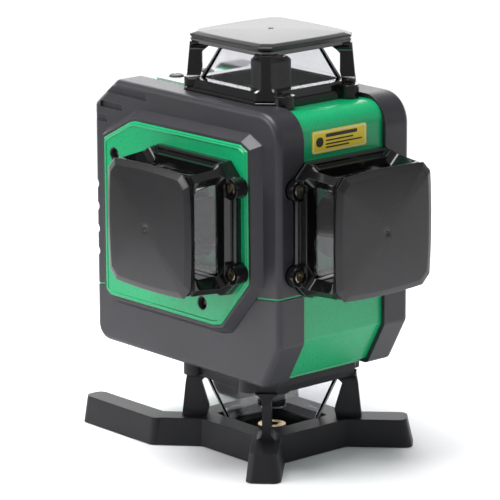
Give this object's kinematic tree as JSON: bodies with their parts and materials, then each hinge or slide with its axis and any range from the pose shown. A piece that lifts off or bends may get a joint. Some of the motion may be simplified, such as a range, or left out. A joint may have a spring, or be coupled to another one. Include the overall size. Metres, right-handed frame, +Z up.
{
  "type": "multi-line laser level",
  "caption": "Green and black self-levelling laser level with square cone-mirror windows on its top, front, side and underside, on a low four-legged stand with a tripod thread.",
  "frame": {"origin": "on the floor, at the lower end of the tripod thread, below the axis of the top and bottom windows", "axes": "+Z up, -Y the front with the label and front window, -X the side with the third window"},
  "size_m": [0.1291, 0.167, 0.201],
  "materials": {
    "green_shell": "satin green ABS",
    "bumper": "fine-textured dark grey soft overmould",
    "cage": "gloss black moulded cage",
    "cap": "satin black cover",
    "stand": "matte blue-black moulding",
    "window_glass": "clear pane",
    "mirror": "silvered cone",
    "screw_steel": "dark steel screws",
    "screw_bright": "bright cross-head screws",
    "brass_part": "turned brass",
    "alloy": "machined light alloy",
    "black_alloy": "black anodised barrel",
    "label": "plain yellow plate",
    "keypad": "silver-grey overlay",
    "button": "soft dark button",
    "board": "green circuit board",
    "inner_plastic": "black moulded plastic",
    "pad_rubber": "soft rubber",
    "steel_part": "ground steel",
    "cell": "wrapped cell"
  },
  "bodies": {
    "housing": {"upper_housing": "green_shell", "lower_housing": "green_shell", "left_upper_bumper": "bumper", "left_lower_bumper": "bumper", "right_upper_bumper": "bumper", "right_lower_bumper": "bumper", "left_side_panel": "green_shell", "right_side_panel": "green_shell", "side_panel_screws": "screw_bright", "top_window_frame": "cage", "front_window_frame": "cage", "left_window_frame": "cage", "top_cap": "cap", "front_cap": "cap", "left_cap": "cap", "top_window_glass": "window_glass", "front_window_glass": "window_glass", "left_window_glass": "window_glass", "bottom_window_glass": "window_glass", "window_frame_screws": "screw_steel", "base_stand": "stand", "tripod_insert": "brass_part", "foot_pads": "pad_rubber", "label_plate": "label", "keypad_panel": "keypad", "keypad_board": "board", "gimbal_yoke": "alloy", "yoke_screws": "screw_steel", "yoke_pivot_pins": "steel_part", "damping_plate": "alloy", "battery_bay": "inner_plastic", "battery_contacts": "brass_part", "main_board": "board", "charge_socket": "steel_part"},
    "gimbal": {"gimbal_ring": "alloy", "gimbal_bearings": "steel_part"},
    "pendulum": {"pendulum_frame": "alloy", "pendulum_pivot_pins": "steel_part", "top_laser_tube": "black_alloy", "front_laser_tube": "black_alloy", "left_laser_tube": "black_alloy", "bottom_laser_tube": "black_alloy", "top_cone_mirror": "mirror", "front_cone_mirror": "mirror", "left_cone_mirror": "mirror", "bottom_cone_mirror": "mirror", "cone_sleeves": "window_glass", "balance_weights": "brass_part", "damper_magnets": "steel_part"},
    "lock_knob": {"lock_knob": "inner_plastic"},
    "lock_ring": {"lock_ring": "inner_plastic"},
    "power_button": {"power_button": "button"},
    "horizontal_line_button": {"horizontal_line_button": "button"},
    "vertical_line_button": {"vertical_line_button": "button"},
    "pulse_button": {"pulse_button": "button"},
    "battery": {"battery_pack": "inner_plastic", "battery_cells": "cell"},
    "battery_latch": {"battery_latch": "inner_plastic"},
    "port_cover": {"port_cover": "pad_rubber"}
  },
  "joints": [
    {"name": "gimbal_pitch", "type": "hinge", "parent": "housing", "child": "gimbal", "pos_m": [0, 0, 0.152], "axis": [1, 0, 0], "range_deg": [-3, 3]},
    {"name": "pendulum_roll", "type": "hinge", "parent": "gimbal", "child": "pendulum", "pos_m": [0, 0, 0.152], "axis": [0, 1, 0], "range_deg": [-3, 3]},
    {"name": "lock_turn", "type": "hinge", "parent": "housing", "child": "lock_knob", "pos_m": [0.044, 0, 0.0687], "axis": [1, 0, 0], "range_deg": [0, 90]},
    {"name": "lock_lift", "type": "slide", "parent": "housing", "child": "lock_ring", "axis": [0, 0, 1], "range_m": [0, 0.0031]},
    {"name": "battery_slide", "type": "slide", "parent": "housing", "child": "battery", "axis": [0, 1, 0], "range_m": [0, 0.045]},
    {"name": "latch_press", "type": "slide", "parent": "housing", "child": "battery_latch", "axis": [0, -1, 0], "range_m": [0, 0.002], "stiffness_N_per_m": 400, "springref_m": -0.0004},
    {"name": "port_cover_hinge", "type": "hinge", "parent": "housing", "child": "port_cover", "pos_m": [0.04185, 0.05362, 0.057], "axis": [0, 0, 1], "range_deg": [-110, 0]},
    {"name": "power_button_press", "type": "slide", "parent": "housing", "child": "power_button", "axis": [0, 0, -1], "range_m": [0, 0.0006], "stiffness_N_per_m": 400, "springref_m": -0.0002},
    {"name": "horizontal_line_button_press", "type": "slide", "parent": "housing", "child": "horizontal_line_button", "axis": [0, 0, -1], "range_m": [0, 0.0006], "stiffness_N_per_m": 400, "springref_m": -0.0002},
    {"name": "vertical_line_button_press", "type": "slide", "parent": "housing", "child": "vertical_line_button", "axis": [0, 0, -1], "range_m": [0, 0.0006], "stiffness_N_per_m": 400, "springref_m": -0.0002},
    {"name": "pulse_button_press", "type": "slide", "parent": "housing", "child": "pulse_button", "axis": [0, 0, -1], "range_m": [0, 0.0006], "stiffness_N_per_m": 400, "springref_m": -0.0002}
  ],
  "couplings": [
    {"joint": "lock_turn", "follows": "lock_lift", "rad_per_m": 506.7}
  ]
}
